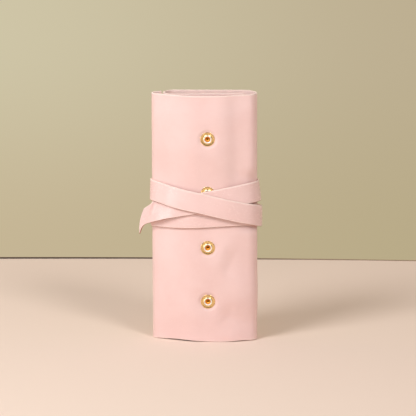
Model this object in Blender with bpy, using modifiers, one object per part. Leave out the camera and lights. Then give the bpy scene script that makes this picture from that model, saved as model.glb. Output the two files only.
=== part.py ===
"""A leather jewelry roll, rolled up, tied with its strap and standing on one end.

One sheet of leather is rolled into a flat spiral: inner panel, left inner fold, back panel, right
fold (the spine), front cover, left fold and a short margin round the back. Four ring snaps stand in
a column on the front cover. Each holds a leather loop inside, which folds over and snaps shut.
A long flat strap is wound round the roll, and its cut end stands out at the left.

Metres, +Z up, the front cover faces -Y, +X to the right. The origin is on the floor under the
middle of the whole object.
"""
import math

import bmesh
import bpy
from mathutils import Matrix, Vector
from mathutils.bvhtree import BVHTree

MM = 0.001

# The roll
ROLL_HEIGHT = 215.0 * MM
ROLL_WIDTH = 90.4 * MM
ROLL_DEPTH = 31.5 * MM
LEATHER = 1.6 * MM
FOLD_GAP = 0.3 * MM  # between two panels that meet at a fold
SEAT_GAP = 0.3 * MM  # between pieces that rest on each other

# Right fold, left fold and the bulge of the front, seen from above
RIGHT_FOLD_R = 14.0 * MM
SPINE_HALF_ANGLE = 45.0  # degrees each way from the middle of the right fold
LEFT_FOLD_R = 6.0 * MM
LEFT_FOLD_SETBACK = 18.75 * MM  # from the front plane to the left fold's centre
FLAT_MARGIN = 0.3 * MM  # the snaps hold the front flat this far round their pockets
FRONT_RIGHT_SLOPE = 20.0  # degrees, where the front runs into the right fold
FRONT_LEFT_SLOPE = 27.0  # degrees, where the front runs into the left fold
BACK_LEFT_SLOPE = 19.0  # degrees, where the left fold runs into the back

# Inner fold and inner panel
INNER_FOLD_R = 10.5 * MM
INNER_FOLD_INSET = 9.8 * MM  # from the roll's left side to the inner fold
MARGIN_CLEARANCE = 2.0 * MM  # from the end of the margin to the inner fold
INNER_END_INSET = 11.8 * MM  # from the roll's right side to the inner panel's edge
INNER_ROOM = 2.6 * MM  # free space behind the snaps

# Ring snaps
SNAP_COUNT = 4
SNAP_PITCH = 47.4 * MM
SNAP_X = 3.1 * MM
SNAPS_BELOW_MIDDLE = 0.9 * MM
POST_FLANGE_R = 6.2 * MM
POST_FLANGE_T = 0.6 * MM
POST_POCKET = 0.5 * MM  # how far the flange is pressed into the leather
POST_RING_R = 3.75 * MM
POST_RING_PROUD = 0.28 * MM
POST_BORE_R = 2.0 * MM
BARREL_WALL = 0.35 * MM
HOLE_CLEARANCE = 0.3 * MM
FLARE_WIDTH = 0.65 * MM
FLARE_T = 0.3 * MM
STUD_FLANGE_R = 5.5 * MM
STUD_PLATE_T = 0.5 * MM
STUD_HEIGHT = 3.0 * MM
STUD_WALL = 0.45 * MM
STUD_BULGE = 0.1 * MM
SOCKET_WALL = 1.55 * MM
SOCKET_PLATE_T = 0.6 * MM
SOCKET_GROOVE = 0.35 * MM
SOCKET_PLAY = 0.4 * MM
CAP_R = 6.2 * MM
CAP_T = 0.7 * MM
CAP_DOME = 0.15 * MM
CAP_POST_R = 1.9 * MM
TURNED_STEPS = 24

# Loops inside the front cover
LOOP_LEATHER = 1.2 * MM
LOOP_HEIGHT = 16.0 * MM
LOOP_LENGTH = 21.0 * MM  # from the snap to where the strip turns back
LOOP_END = 7.5 * MM  # leather beyond the snap

# Strap
STRAP_WIDTH = 17.6 * MM
STRAP_T = 1.3 * MM
STRAP_HUG = 0.4 * MM  # first layer over the roll
LAYER_GAP = 0.7 * MM  # one layer over the next
LOW_TURN_BELOW_MIDDLE = 0.1 * MM
TURN_SPACING = 5.9 * MM  # free height between the low turn and the high turn at the sides
STRAP_START_X = 16.0 * MM  # the hidden end, on the back
TAIL_GAP = 0.6 * MM  # between the wound strap and its free end
STRAP_ROW = 5.0 * MM  # longest step along the strap

# Snap stack, as depths behind the leather's outer face
FLANGE_BACK = POST_POCKET - SEAT_GAP
FLANGE_FRONT = FLANGE_BACK - POST_FLANGE_T
BARREL_R = POST_BORE_R + BARREL_WALL
POCKET_R = POST_FLANGE_R + HOLE_CLEARANCE
BASE_FRONT = LEATHER + SEAT_GAP
BASE_BACK = BASE_FRONT + LOOP_LEATHER
STUD_FRONT = BASE_BACK + SEAT_GAP
STUD_PLATE_BACK = STUD_FRONT + STUD_PLATE_T
FLARE_FRONT = STUD_PLATE_BACK + SEAT_GAP
FLARE_R = BARREL_R + FLARE_WIDTH
STUD_HOLLOW_R = FLARE_R + SEAT_GAP
STUD_NECK_R = STUD_HOLLOW_R + STUD_WALL
STUD_BALL_R = STUD_NECK_R + STUD_BULGE
STUD_TIP = STUD_PLATE_BACK + STUD_HEIGHT
SOCKET_MOUTH = STUD_PLATE_BACK + SOCKET_PLAY
SOCKET_BORE_R = STUD_BALL_R + SEAT_GAP
SOCKET_R = SOCKET_BORE_R + SOCKET_WALL
SOCKET_FLOOR = STUD_TIP + SOCKET_PLAY
SOCKET_BACK = SOCKET_FLOOR + SOCKET_PLATE_T
FLAP_FRONT = SOCKET_BACK + SEAT_GAP
FLAP_BACK = FLAP_FRONT + LOOP_LEATHER
CAP_FRONT = FLAP_BACK + SEAT_GAP
CAP_BACK = CAP_FRONT + CAP_T + CAP_DOME

# Places that follow from the sizes
FRONT_Y = -ROLL_DEPTH / 2
BACK_Y = ROLL_DEPTH / 2
FRONT_FLAT = 2 * (POCKET_R + FLAT_MARGIN)
RIGHT_CENTRE = Vector((ROLL_WIDTH / 2 - RIGHT_FOLD_R, BACK_Y - RIGHT_FOLD_R))
LEFT_CENTRE = Vector((-ROLL_WIDTH / 2 + LEFT_FOLD_R, FRONT_Y + LEFT_FOLD_SETBACK))
INNER_LEFT_X = -ROLL_WIDTH / 2 + INNER_FOLD_INSET
INNER_CENTRE = Vector((INNER_LEFT_X + INNER_FOLD_R, BACK_Y - INNER_FOLD_R))
INNER_END = Vector((ROLL_WIDTH / 2 - INNER_END_INSET, FRONT_Y + CAP_BACK + INNER_ROOM))
MARGIN_END_X = INNER_LEFT_X - MARGIN_CLEARANCE
SNAP_HEIGHTS = [
    ROLL_HEIGHT / 2 - SNAPS_BELOW_MIDDLE + SNAP_PITCH * ((SNAP_COUNT - 1) / 2 - i)
    for i in range(SNAP_COUNT)
]
LOW_TURN_Z = ROLL_HEIGHT / 2 - LOW_TURN_BELOW_MIDDLE
HIGH_TURN_Z = LOW_TURN_Z + STRAP_WIDTH + TURN_SPACING


def material(name, colour, roughness, metallic):
    made = bpy.data.materials.new(name)
    made.use_nodes = True
    shader = made.node_tree.nodes["Principled BSDF"]
    shader.inputs["Base Color"].default_value = (*colour, 1.0)
    shader.inputs["Roughness"].default_value = roughness
    shader.inputs["Metallic"].default_value = metallic
    return made


def collection(name):
    made = bpy.data.collections.new(name)
    bpy.context.scene.collection.children.link(made)
    return made


def body(name, place, parent=None):
    """An empty on a joint's axis, which carries the pieces that move with it."""
    empty = bpy.data.objects.new(name, None)
    PARTS.objects.link(empty)
    empty.location = place
    if parent is not None:
        bpy.context.view_layer.update()
        empty.parent = parent
        empty.matrix_parent_inverse = parent.matrix_world.inverted()
    bpy.context.view_layer.update()
    return empty


def carry(obj, home):
    obj.parent = home
    obj.matrix_parent_inverse = home.matrix_world.inverted()
    bpy.context.view_layer.update()


def new_object(name, mesh, finish, home):
    obj = bpy.data.objects.new(name, mesh)
    PARTS.objects.link(obj)
    if finish is not None:
        mesh.materials.clear()
        mesh.materials.append(finish)
    carry(obj, home)
    return obj


# Lines seen from above, all running anticlockwise, so their outer side is on the right


def arc(centre, radius, start, end, step=7.5):
    """Points on an arc from start to end, in degrees."""
    count = max(2, math.ceil(abs(end - start) / step))
    turns = [math.radians(start + (end - start) * i / count) for i in range(count + 1)]
    return [centre + radius * Vector((math.cos(a), math.sin(a))) for a in turns]


def bend(a, leave, arrive, b, steps=10):
    """A cubic curve from a to b, with its two handles as offsets from its ends."""
    first = a + leave
    last = b + arrive
    line = []
    for i in range(steps + 1):
        t = i / steps
        u = 1 - t
        line.append(a * u**3 + first * (3 * u * u * t) + last * (3 * u * t * t) + b * t**3)
    return line


def joined(*lines):
    whole = list(lines[0])
    for line in lines[1:]:
        whole.extend(line[1:] if (line[0] - whole[-1]).length < 1e-7 else line)
    return whole


def heading(degrees, length):
    return Vector((math.cos(math.radians(degrees)), math.sin(math.radians(degrees)))) * length


def front_line():
    """The front's outer line, from the left fold over the snaps to the right fold."""
    left_end = arc(LEFT_CENTRE, LEFT_FOLD_R, 270 - FRONT_LEFT_SLOPE, 270)[0]
    right_end = arc(RIGHT_CENTRE, RIGHT_FOLD_R, FRONT_RIGHT_SLOPE - 90, 0)[0]
    flat_left = Vector((SNAP_X - FRONT_FLAT / 2, FRONT_Y))
    flat_right = Vector((SNAP_X + FRONT_FLAT / 2, FRONT_Y))
    left_run = flat_left.x - left_end.x
    right_run = right_end.x - flat_right.x
    left = bend(
        left_end,
        heading(-FRONT_LEFT_SLOPE, left_run / 3),
        Vector((-left_run * 0.42, 0)),
        flat_left,
        14,
    )
    right = bend(
        flat_right,
        Vector((right_run * 0.4, 0)),
        heading(180 + FRONT_RIGHT_SLOPE, right_run * 0.35),
        right_end,
        10,
    )
    return joined(left, right)


def back_left_line():
    """From the flat back round to the left fold; the margin's outer line is its last stretch."""
    start = Vector((INNER_CENTRE.x, BACK_Y))
    end = arc(LEFT_CENTRE, LEFT_FOLD_R, 90 + BACK_LEFT_SLOPE, 180)[0]
    run = start.x - end.x
    return bend(start, Vector((-run * 0.45, 0)), heading(BACK_LEFT_SLOPE, run * 0.3), end, 12)


def cut_from_x(line, x):
    """The stretch of a leftward line that lies left of x."""
    kept = [p for p in line if p.x < x - 0.2 * MM]
    before = line[len(line) - len(kept) - 1]
    share = (before.x - x) / (before.x - kept[0].x)
    return [before.lerp(kept[0], share)] + kept


def half_gap_angle(radius, thickness=LEATHER, step=10.0):
    """Half the angle that leaves the fold gap between two panels' inner edges."""
    slant = thickness * math.sin(math.radians(step / 2))
    return math.degrees((FOLD_GAP / 2 + slant) / (radius - thickness))


def cover_line():
    trim = half_gap_angle(RIGHT_FOLD_R)
    margin = cut_from_x(back_left_line(), MARGIN_END_X)
    left = arc(LEFT_CENTRE, LEFT_FOLD_R, 90 + BACK_LEFT_SLOPE, 270 - FRONT_LEFT_SLOPE, 15)
    right = arc(
        RIGHT_CENTRE, RIGHT_FOLD_R, FRONT_RIGHT_SLOPE - 90, -SPINE_HALF_ANGLE - trim
    )
    return joined(margin, left, front_line(), right)


def spine_line():
    reach = SPINE_HALF_ANGLE - half_gap_angle(RIGHT_FOLD_R)
    return arc(RIGHT_CENTRE, RIGHT_FOLD_R, -reach, reach)


def back_line():
    right = arc(
        RIGHT_CENTRE, RIGHT_FOLD_R, SPINE_HALF_ANGLE + half_gap_angle(RIGHT_FOLD_R), 90
    )
    left = arc(INNER_CENTRE, INNER_FOLD_R, 90, 180 - half_gap_angle(INNER_FOLD_R), 10)
    return joined(right, left)


def inner_line():
    fold = arc(INNER_CENTRE, INNER_FOLD_R, 180 + half_gap_angle(INNER_FOLD_R), 270, 10)
    run = INNER_END.x - INNER_CENTRE.x
    panel = bend(fold[-1], Vector((run * 0.14, 0)), Vector((-run * 0.55, 0)), INNER_END, 12)
    return joined(fold, panel)


def front_y(x):
    """How far forward the front's outer face stands at x."""
    line = front_line()
    for a, b in zip(line, line[1:]):
        if a.x <= x <= b.x:
            return a.y + (b.y - a.y) * (x - a.x) / (b.x - a.x)
    return line[-1].y


# Shapes


def leather_wall(name, line, bottom, top, thickness, finish, home):
    """Leather standing on edge: an open surface along the line, thickened inwards."""
    bm = bmesh.new()
    verts = [bm.verts.new((p.x, p.y, bottom)) for p in line]
    edges = [bm.edges.new(pair) for pair in zip(verts, verts[1:])]
    raised = bmesh.ops.extrude_edge_only(bm, edges=edges)["geom"]
    new_verts = [g for g in raised if isinstance(g, bmesh.types.BMVert)]
    bmesh.ops.translate(bm, vec=(0, 0, top - bottom), verts=new_verts)
    bmesh.ops.recalc_face_normals(bm, faces=bm.faces[:])
    run = line[1] - line[0]
    if edges[0].link_faces[0].normal.dot(Vector((run.y, -run.x, 0))) < 0:
        bmesh.ops.reverse_faces(bm, faces=bm.faces[:])
    mesh = bpy.data.meshes.new(name)
    bm.transform(Matrix.Translation(-home.matrix_world.translation))
    bm.to_mesh(mesh)
    bm.free()
    obj = new_object(name, mesh, finish, home)
    obj.matrix_world = Matrix.Translation(home.matrix_world.translation)
    shell = obj.modifiers.new("leather", "SOLIDIFY")
    shell.thickness = thickness
    shell.offset = -1
    shell.use_even_offset = True
    smooth(mesh)
    bpy.context.view_layer.update()
    return obj


def smooth(mesh, angle=35):
    mesh.shade_smooth()
    mesh.set_sharp_from_angle(angle=math.radians(angle))


def turned_mesh(name, profile):
    """A closed profile of (radius, height) points, from the top down its outer side."""
    bm = bmesh.new()
    verts = [bm.verts.new((r, 0, h)) for r, h in profile]
    for a, b in zip(verts, verts[1:] + verts[:1]):
        if a.co.x > 0 or b.co.x > 0:
            bm.edges.new((a, b))
    mesh = bpy.data.meshes.new(name)
    bm.to_mesh(mesh)
    bm.free()
    return mesh


def turned(name, mesh, place, finish, home):
    """A turned piece on a snap's axis, its own +Z pointing out of the front cover."""
    obj = new_object(name, mesh, finish, home)
    obj.matrix_world = Matrix.Translation(place) @ Matrix.Rotation(math.radians(90), 4, "X")
    spin = obj.modifiers.new("turn", "SCREW")
    spin.axis = "Z"
    spin.angle = math.tau
    spin.steps = TURNED_STEPS
    spin.render_steps = TURNED_STEPS
    spin.use_merge_vertices = True
    spin.merge_threshold = 0.00001
    spin.use_smooth_shade = True
    bpy.context.view_layer.update()
    return obj


def drill(obj, name, place, radius, near, far):
    """A round cut along Y through obj, from depth near to depth far behind the place."""
    bm = bmesh.new()
    bmesh.ops.create_cone(
        bm,
        cap_ends=True,
        segments=TURNED_STEPS,
        radius1=radius,
        radius2=radius,
        depth=far - near,
    )
    mesh = bpy.data.meshes.new(name)
    bm.to_mesh(mesh)
    bm.free()
    cutter = bpy.data.objects.new(name, mesh)
    CUTTERS.objects.link(cutter)
    cutter.hide_render = True
    cutter.display_type = "WIRE"
    carry(cutter, obj.parent)
    middle = place + Vector((0, (near + far) / 2, 0))
    cutter.matrix_world = Matrix.Translation(middle) @ Matrix.Rotation(math.radians(90), 4, "X")
    cut = obj.modifiers.new(name, "BOOLEAN")
    cut.operation = "DIFFERENCE"
    cut.solver = "EXACT"
    cut.object = cutter


def post_profile():
    """Hollow post: a rolled flange, a raised ring, and a barrel flared inside the stud."""
    top = -FLANGE_FRONT
    under = -FLANGE_BACK
    flare = -FLARE_FRONT
    r = POST_FLANGE_R
    return [
        (POST_BORE_R, top),
        (BARREL_R, top + POST_RING_PROUD * 0.8),
        ((BARREL_R + POST_RING_R) / 2, top + POST_RING_PROUD),
        (POST_RING_R, top + POST_RING_PROUD * 0.5),
        (POST_RING_R + 0.35 * MM, top - 0.12 * MM),
        (r - 0.9 * MM, top - 0.05 * MM),
        (r - 0.4 * MM, top),
        (r - 0.1 * MM, top - 0.15 * MM),
        (r, (top + under) / 2),
        (r - 0.15 * MM, under),
        (BARREL_R, under),
        (BARREL_R, flare),
        (FLARE_R, flare),
        (FLARE_R, flare - FLARE_T),
        (POST_BORE_R, flare - FLARE_T),
    ]


def stud_profile():
    """Stud: a flat plate and a hollow ball with a curled lip, which the socket grips."""
    front = -STUD_FRONT
    plate = -STUD_PLATE_BACK
    tip = -STUD_TIP
    hole = BARREL_R + HOLE_CLEARANCE
    lip = STUD_HOLLOW_R - 0.4 * MM
    return [
        (hole, front),
        (STUD_FLANGE_R - 0.2 * MM, front),
        (STUD_FLANGE_R, (front + plate) / 2),
        (STUD_FLANGE_R - 0.2 * MM, plate),
        (STUD_NECK_R, plate),
        (STUD_NECK_R, plate - STUD_HEIGHT * 0.25),
        (STUD_BALL_R, plate - STUD_HEIGHT * 0.55),
        (STUD_NECK_R, tip + STUD_HEIGHT * 0.12),
        (STUD_HOLLOW_R, tip),
        (lip, tip + 0.1 * MM),
        (STUD_HOLLOW_R, tip + 0.6 * MM),
        (STUD_HOLLOW_R, plate),
        (hole, plate),
    ]


def socket_profile():
    """Socket: a thick ring with a spring groove in its bore and a pierced back plate."""
    mouth = -SOCKET_MOUTH
    floor = -SOCKET_FLOOR
    back = -SOCKET_BACK
    hole = CAP_POST_R + HOLE_CLEARANCE
    middle = (mouth + floor) / 2
    groove = (mouth - floor) / 6
    chamfer = 0.3 * MM
    return [
        (SOCKET_BORE_R, mouth),
        (SOCKET_R - chamfer, mouth),
        (SOCKET_R, mouth - chamfer),
        (SOCKET_R, back + chamfer),
        (SOCKET_R - chamfer, back),
        (hole, back),
        (hole, floor),
        (SOCKET_BORE_R, floor),
        (SOCKET_BORE_R, middle - groove),
        (SOCKET_BORE_R + SOCKET_GROOVE, middle - groove / 2),
        (SOCKET_BORE_R + SOCKET_GROOVE, middle + groove / 2),
        (SOCKET_BORE_R, middle + groove),
    ]


def cap_profile():
    """Cap: a low dome on the loop's outside, its post set in the socket's back plate."""
    post_end = -(SOCKET_BACK - SOCKET_PLATE_T * 0.8)
    front = -CAP_FRONT
    back = front - CAP_T
    return [
        (0.0, post_end),
        (CAP_POST_R, post_end),
        (CAP_POST_R, front),
        (CAP_R - 0.3 * MM, front),
        (CAP_R, front - 0.3 * MM),
        (CAP_R - 0.5 * MM, back),
        (CAP_R * 0.5, back - CAP_DOME),
        (0.0, back - CAP_DOME),
    ]


# The strap


def wrap_line():
    """The roll's whole outline, clockwise from its right side: front, left, back."""
    right_front = arc(RIGHT_CENTRE, RIGHT_FOLD_R, 0, FRONT_RIGHT_SLOPE - 90)
    front = list(reversed(front_line()))
    left = arc(LEFT_CENTRE, LEFT_FOLD_R, 270 - FRONT_LEFT_SLOPE, 90 + BACK_LEFT_SLOPE, 15)
    back_left = list(reversed(back_left_line()))
    flat_start = back_left[-1]
    flat_end = Vector((RIGHT_CENTRE.x, BACK_Y))
    flat = [flat_start.lerp(flat_end, i / 12) for i in range(13)]
    right_back = arc(RIGHT_CENTRE, RIGHT_FOLD_R, 90, 0)
    return joined(right_front, front, left, back_left, flat, right_back)[:-1]


class Outline:
    """The roll's outline as a length along it: a place and an outward direction."""

    def __init__(self, points):
        self.points = points
        count = len(points)
        self.normals = []
        for i in range(count):
            run = points[(i + 1) % count] - points[i - 1]
            self.normals.append(Vector((-run.y, run.x)).normalized())
        self.marks = [0.0]
        for i in range(count):
            step = (points[(i + 1) % count] - points[i]).length
            self.marks.append(self.marks[-1] + step)
        self.length = self.marks[-1]

    def at(self, s):
        s = s % self.length
        count = len(self.points)
        i = next(k for k in range(count) if s <= self.marks[k + 1])
        share = (s - self.marks[i]) / (self.marks[i + 1] - self.marks[i])
        place = self.points[i].lerp(self.points[(i + 1) % count], share)
        normal = self.normals[i].lerp(self.normals[(i + 1) % count], share).normalized()
        return place, normal

    def find(self, side, x):
        """The length at which the front or the back passes x."""
        count = len(self.points)
        for i in range(count):
            a = self.points[i]
            b = self.points[(i + 1) % count]
            faces_front = b.x < a.x
            if faces_front == (side == "front") and min(a.x, b.x) <= x <= max(a.x, b.x):
                share = (x - a.x) / (b.x - a.x)
                return self.marks[i] + share * (self.marks[i + 1] - self.marks[i])
        lowest = min(range(count), key=lambda k: self.points[k].x)
        return self.marks[lowest] if x < 0 else 0.0


# The strap's route: turn, side, x as a share of half the roll's width, height as a share of the
# way from the low turn to the high turn, and the layer that its lower and upper edge lie in
STRAP_ROUTE = [
    (0, "right", 1.0, 0.05, 0.0, 0.0),
    (0, "front", 0.80, 0.13, 0.0, 0.0),
    (0, "front", 0.38, 0.13, 0.0, 0.0),
    (0, "front", 0.04, 0.085, 0.0, 0.0),
    (0, "front", -0.64, 0.026, 0.0, 0.0),
    (0, "left", -1.0, 0.0, 0.0, 0.0),
    (0, "back", -0.50, 0.0, 0.0, 0.0),
    (0, "back", -0.04, 0.0, 0.0, 0.0),
    (0, "back", 0.22, 0.0, 1.0, 1.0),
    (0, "back", 0.60, 0.0, 1.0, 1.0),
    (1, "right", 1.0, 0.01, 2.0, 2.0),
    (1, "front", 0.85, 0.19, 2.0, 2.0),
    (1, "front", 0.64, 0.30, 2.0, 2.0),
    (1, "front", 0.16, 0.535, 2.0, 2.0),
    (1, "front", -0.12, 0.66, 2.0, 2.0),
    (1, "front", -0.59, 0.84, 2.0, 1.8),
    (1, "front", -0.86, 0.955, 2.0, 1.4),
    (1, "front", -0.96, 0.985, 1.9, 0.8),
    (1, "left", -1.0, 1.0, 1.1, 0.2),
    (1, "back", -0.80, 1.01, 0.2, 0.0),
    (1, "back", -0.50, 1.01, 0.0, 0.0),
    (1, "back", 0.50, 1.0, 0.0, 0.0),
    (2, "right", 1.0, 0.985, 1.5, 0.0),
    (2, "front", 0.88, 0.975, 1.0, 0.0),
    (2, "front", 0.55, 0.87, 1.0, 0.5),
    (2, "front", 0.22, 0.76, 1.0, 1.0),
    (2, "front", -0.16, 0.63, 1.0, 1.0),
    (2, "front", -0.40, 0.52, 1.0, 1.0),
    (2, "front", -0.73, 0.36, 1.0, 1.0),
    (2, "front", -0.88, 0.26, 1.0, 1.0),
]

# The tail's two edges beyond the strap, as shares of the strap's width: how far to the left of the
# roll, how far behind its middle plane, and how far above the low turn
TAIL_UPPER = [(-0.02, -0.25, 0.69), (0.17, -0.11, 0.53), (0.34, 0.02, 0.39)]
TAIL_LOWER = [
    (0.05, -0.28, -0.28),
    (0.23, -0.20, -0.35),
    (0.36, -0.14, -0.44),
    (0.48, -0.06, -0.62),
    (0.57, 0.03, -0.89),
]
TAIL_BOW = 1.6 * MM  # how far the middle of the cut end stands out


def layer(number):
    return STRAP_HUG + number * (STRAP_T + LAYER_GAP)


def station(outline, turn, side, x, height, lower, upper):
    at_side = side in ("left", "right")
    along = outline.find("front" if at_side else side, x * ROLL_WIDTH / 2)
    z = LOW_TURN_Z + height * (HIGH_TURN_Z - LOW_TURN_Z)
    return Vector((turn * outline.length + along, z, layer(lower), layer(upper)))


def through(points, s):
    """Smooth height and eased layers at length s along the route's stations."""
    last = len(points) - 1
    i = next((k for k in range(last) if s <= points[k + 1][0]), last - 1)
    a, b = points[i], points[i + 1]
    before = points[max(i - 1, 0)]
    after = points[min(i + 2, last)]
    t = (s - a[0]) / (b[0] - a[0])
    slope_a = (b[1] - before[1]) / (b[0] - before[0]) * (b[0] - a[0])
    slope_b = (after[1] - a[1]) / (after[0] - a[0]) * (b[0] - a[0])
    z = (
        a[1] * (2 * t**3 - 3 * t**2 + 1)
        + slope_a * (t**3 - 2 * t**2 + t)
        + b[1] * (3 * t**2 - 2 * t**3)
        + slope_b * (t**3 - t**2)
    )
    ease = t * t * (3 - 2 * t)
    return z, a[2] + (b[2] - a[2]) * ease, a[3] + (b[3] - a[3]) * ease


def strap_rows(outline):
    """The strap's inner face as rows of three points: lower edge, middle, upper edge."""
    route = [station(outline, *row) for row in STRAP_ROUTE]
    start = outline.find("back", STRAP_START_X) - outline.length
    route.insert(0, Vector((start, route[0][1], layer(0), layer(0))))
    end = route[-1][0]
    lengths = [start]
    turn = math.floor(start / outline.length)
    while turn * outline.length < end:
        for mark in outline.marks[:-1]:
            s = turn * outline.length + mark
            if lengths[-1] + 0.5 * MM < s < end - 0.5 * MM:
                steps = math.ceil((s - lengths[-1]) / STRAP_ROW)
                gap = (s - lengths[-1]) / steps
                lengths.extend(lengths[-1] + gap for _ in range(steps))
        turn += 1
    lengths.append(end)
    rows = []
    for s in lengths:
        z, lower, upper = through(route, s)
        ahead = through(route, min(s + 1 * MM, end))[0]
        behind = through(route, max(s - 1 * MM, start))[0]
        slope = math.atan2(ahead - behind, 2 * MM)
        row = []
        for share in (-1, 0, 1):
            across = share * STRAP_WIDTH / 2
            place, normal = outline.at(s - math.sin(slope) * across)
            off = (lower + upper) / 2 + share * (upper - lower) / 2
            point = place + normal * off
            row.append(Vector((point.x, point.y, z + math.cos(slope) * across)))
        rows.append(row)
    return rows, lengths


def tail_rows(last_row, before_row):
    """The tail's inner face: it leaves the strap's last row and ends in a slanting cut."""
    ahead = (last_row[1] - before_row[1]).normalized()
    side = -ROLL_WIDTH / 2
    edges = []
    for start, points in ((last_row[0], TAIL_LOWER), (last_row[2], TAIL_UPPER)):
        places = [
            Vector((side - x * STRAP_WIDTH, y * STRAP_WIDTH, LOW_TURN_Z + z * STRAP_WIDTH))
            for x, y, z in points
        ]
        edges.append([start + ahead * TAIL_GAP] + places)
    rows = []
    steps = 14
    for i in range(steps + 1):
        lower = along(edges[0], i / steps, ahead)
        upper = along(edges[1], i / steps, ahead)
        bow = Vector((-TAIL_BOW * (i / steps) ** 2, 0, 0))
        rows.append([lower, (lower + upper) / 2 + bow, upper])
    return rows


def along(points, t, ahead):
    """A smooth curve that starts straight ahead and runs through points, at share t."""
    spans = len(points) - 1
    i = min(int(t * spans), spans - 1)
    u = t * spans - i
    a, b = points[i], points[i + 1]
    slope_a = (b - points[i - 1]) / 2 if i > 0 else ahead * (b - a).length
    slope_b = (points[i + 2] - a) / 2 if i + 2 <= spans else b - a
    return (
        a * (2 * u**3 - 3 * u**2 + 1)
        + slope_a * (u**3 - 2 * u**2 + u)
        + b * (3 * u**2 - 2 * u**3)
        + slope_b * (u**3 - u**2)
    )


def ribbon(name, rows, finish, home):
    """A flat strap: its inner face lofted through the rows, thickened outwards."""
    bm = bmesh.new()
    grid = [[bm.verts.new(p) for p in row] for row in rows]
    for a, b in zip(grid, grid[1:]):
        for k in range(len(a) - 1):
            bm.faces.new((a[k], a[k + 1], b[k + 1], b[k]))
    bm.normal_update()
    mesh = bpy.data.meshes.new(name)
    bm.transform(Matrix.Translation(-home.matrix_world.translation))
    bm.to_mesh(mesh)
    bm.free()
    obj = new_object(name, mesh, finish, home)
    obj.matrix_world = Matrix.Translation(home.matrix_world.translation)
    shell = obj.modifiers.new("leather", "SOLIDIFY")
    shell.thickness = STRAP_T
    shell.offset = 1
    shell.use_even_offset = False
    smooth(mesh)
    bpy.context.view_layer.update()
    return obj


def least_gap(rows, lengths):
    """Least distance from the outer face of one turn to the inner face of another."""
    quads = []
    owners = []
    verts = [p for row in rows for p in row]
    width = len(rows[0])
    for i in range(len(rows) - 1):
        for k in range(width - 1):
            corner = i * width + k
            quads.append((corner, corner + 1, corner + width + 1, corner + width))
            owners.append(lengths[i])
    inner = BVHTree.FromPolygons(verts, quads)
    least = 1.0
    for i in range(1, len(rows) - 1):
        row = rows[i]
        run = rows[i + 1][1] - rows[i - 1][1]
        normal = (row[2] - row[0]).cross(run).normalized()
        for k in range(width - 1):
            for share in (0.0, 0.5, 1.0):
                outer = row[k].lerp(row[k + 1], share) + normal * STRAP_T
                for _, _, index, distance in inner.find_nearest_range(outer, 4 * MM):
                    if abs(owners[index] - lengths[i]) > STRAP_WIDTH * 1.5:
                        least = min(least, distance)
    return least


def bounds():
    """Lowest and highest corner of every modelled piece."""
    bpy.context.view_layer.update()
    graph = bpy.context.evaluated_depsgraph_get()
    low = Vector((1e9, 1e9, 1e9))
    high = -low
    for obj in PARTS.objects:
        if obj.type != "MESH":
            continue
        seen = obj.evaluated_get(graph)
        for vert in seen.data.vertices:
            place = seen.matrix_world @ vert.co
            low = Vector(map(min, low, place))
            high = Vector(map(max, high, place))
    return low, high


for old in list(bpy.data.objects):
    bpy.data.objects.remove(old, do_unlink=True)

PARTS = collection("jewelry_roll")
CUTTERS = collection("cutters")

pink_leather = material("pink_leather", (0.94, 0.66, 0.60), 0.55, 0.0)
strap_leather = material("strap_leather", (0.95, 0.68, 0.62), 0.5, 0.0)
lining_leather = material("loop_leather", (0.90, 0.70, 0.58), 0.65, 0.0)
gold_brass = material("gold_brass", (0.87, 0.62, 0.28), 0.25, 1.0)

# Bodies, each an empty on its joint's axis
spine_axis = arc(RIGHT_CENTRE, RIGHT_FOLD_R, SPINE_HALF_ANGLE, 90)[0]
cover_axis = arc(RIGHT_CENTRE, RIGHT_FOLD_R, -SPINE_HALF_ANGLE, 0)[0]
roll = body("roll", (0, 0, 0))
spine_hinge = body("spine_hinge", (spine_axis.x, spine_axis.y, 0), roll)
cover_hinge = body("cover_hinge", (cover_axis.x, cover_axis.y, 0), spine_hinge)
inner_hinge = body("inner_hinge", (INNER_LEFT_X, INNER_CENTRE.y, 0), roll)

# The sheet's four panels
cover = leather_wall(
    "front_cover", cover_line(), 0, ROLL_HEIGHT, LEATHER, pink_leather, cover_hinge
)
leather_wall("spine", spine_line(), 0, ROLL_HEIGHT, LEATHER, pink_leather, spine_hinge)
leather_wall("back_panel", back_line(), 0, ROLL_HEIGHT, LEATHER, pink_leather, roll)
leather_wall("inner_panel", inner_line(), 0, ROLL_HEIGHT, LEATHER, pink_leather, inner_hinge)

# Snaps and loops, from the top down
snap_meshes = {
    "snap_post": turned_mesh("snap_post", post_profile()),
    "snap_stud": turned_mesh("snap_stud", stud_profile()),
    "snap_socket": turned_mesh("snap_socket", socket_profile()),
    "snap_cap": turned_mesh("snap_cap", cap_profile()),
}
face_y = front_y(SNAP_X)
turn_x = SNAP_X + LOOP_LENGTH
base_run = [
    Vector((x, front_y(x) + BASE_FRONT))
    for x in (SNAP_X - LOOP_END + (LOOP_LENGTH + LOOP_END) * i / 8 for i in range(9))
]
flap_y = face_y + FLAP_BACK
loop_r = (flap_y - base_run[-1].y) / 2
loop_centre = Vector((turn_x, flap_y - loop_r))
trim = half_gap_angle(loop_r, LOOP_LEATHER, 15.0)
base_line = joined(base_run, arc(loop_centre, loop_r, -90, -trim, 15))
flap_line = joined(
    arc(loop_centre, loop_r, trim, 90, 15), [Vector((SNAP_X - LOOP_END, flap_y))]
)
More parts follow.
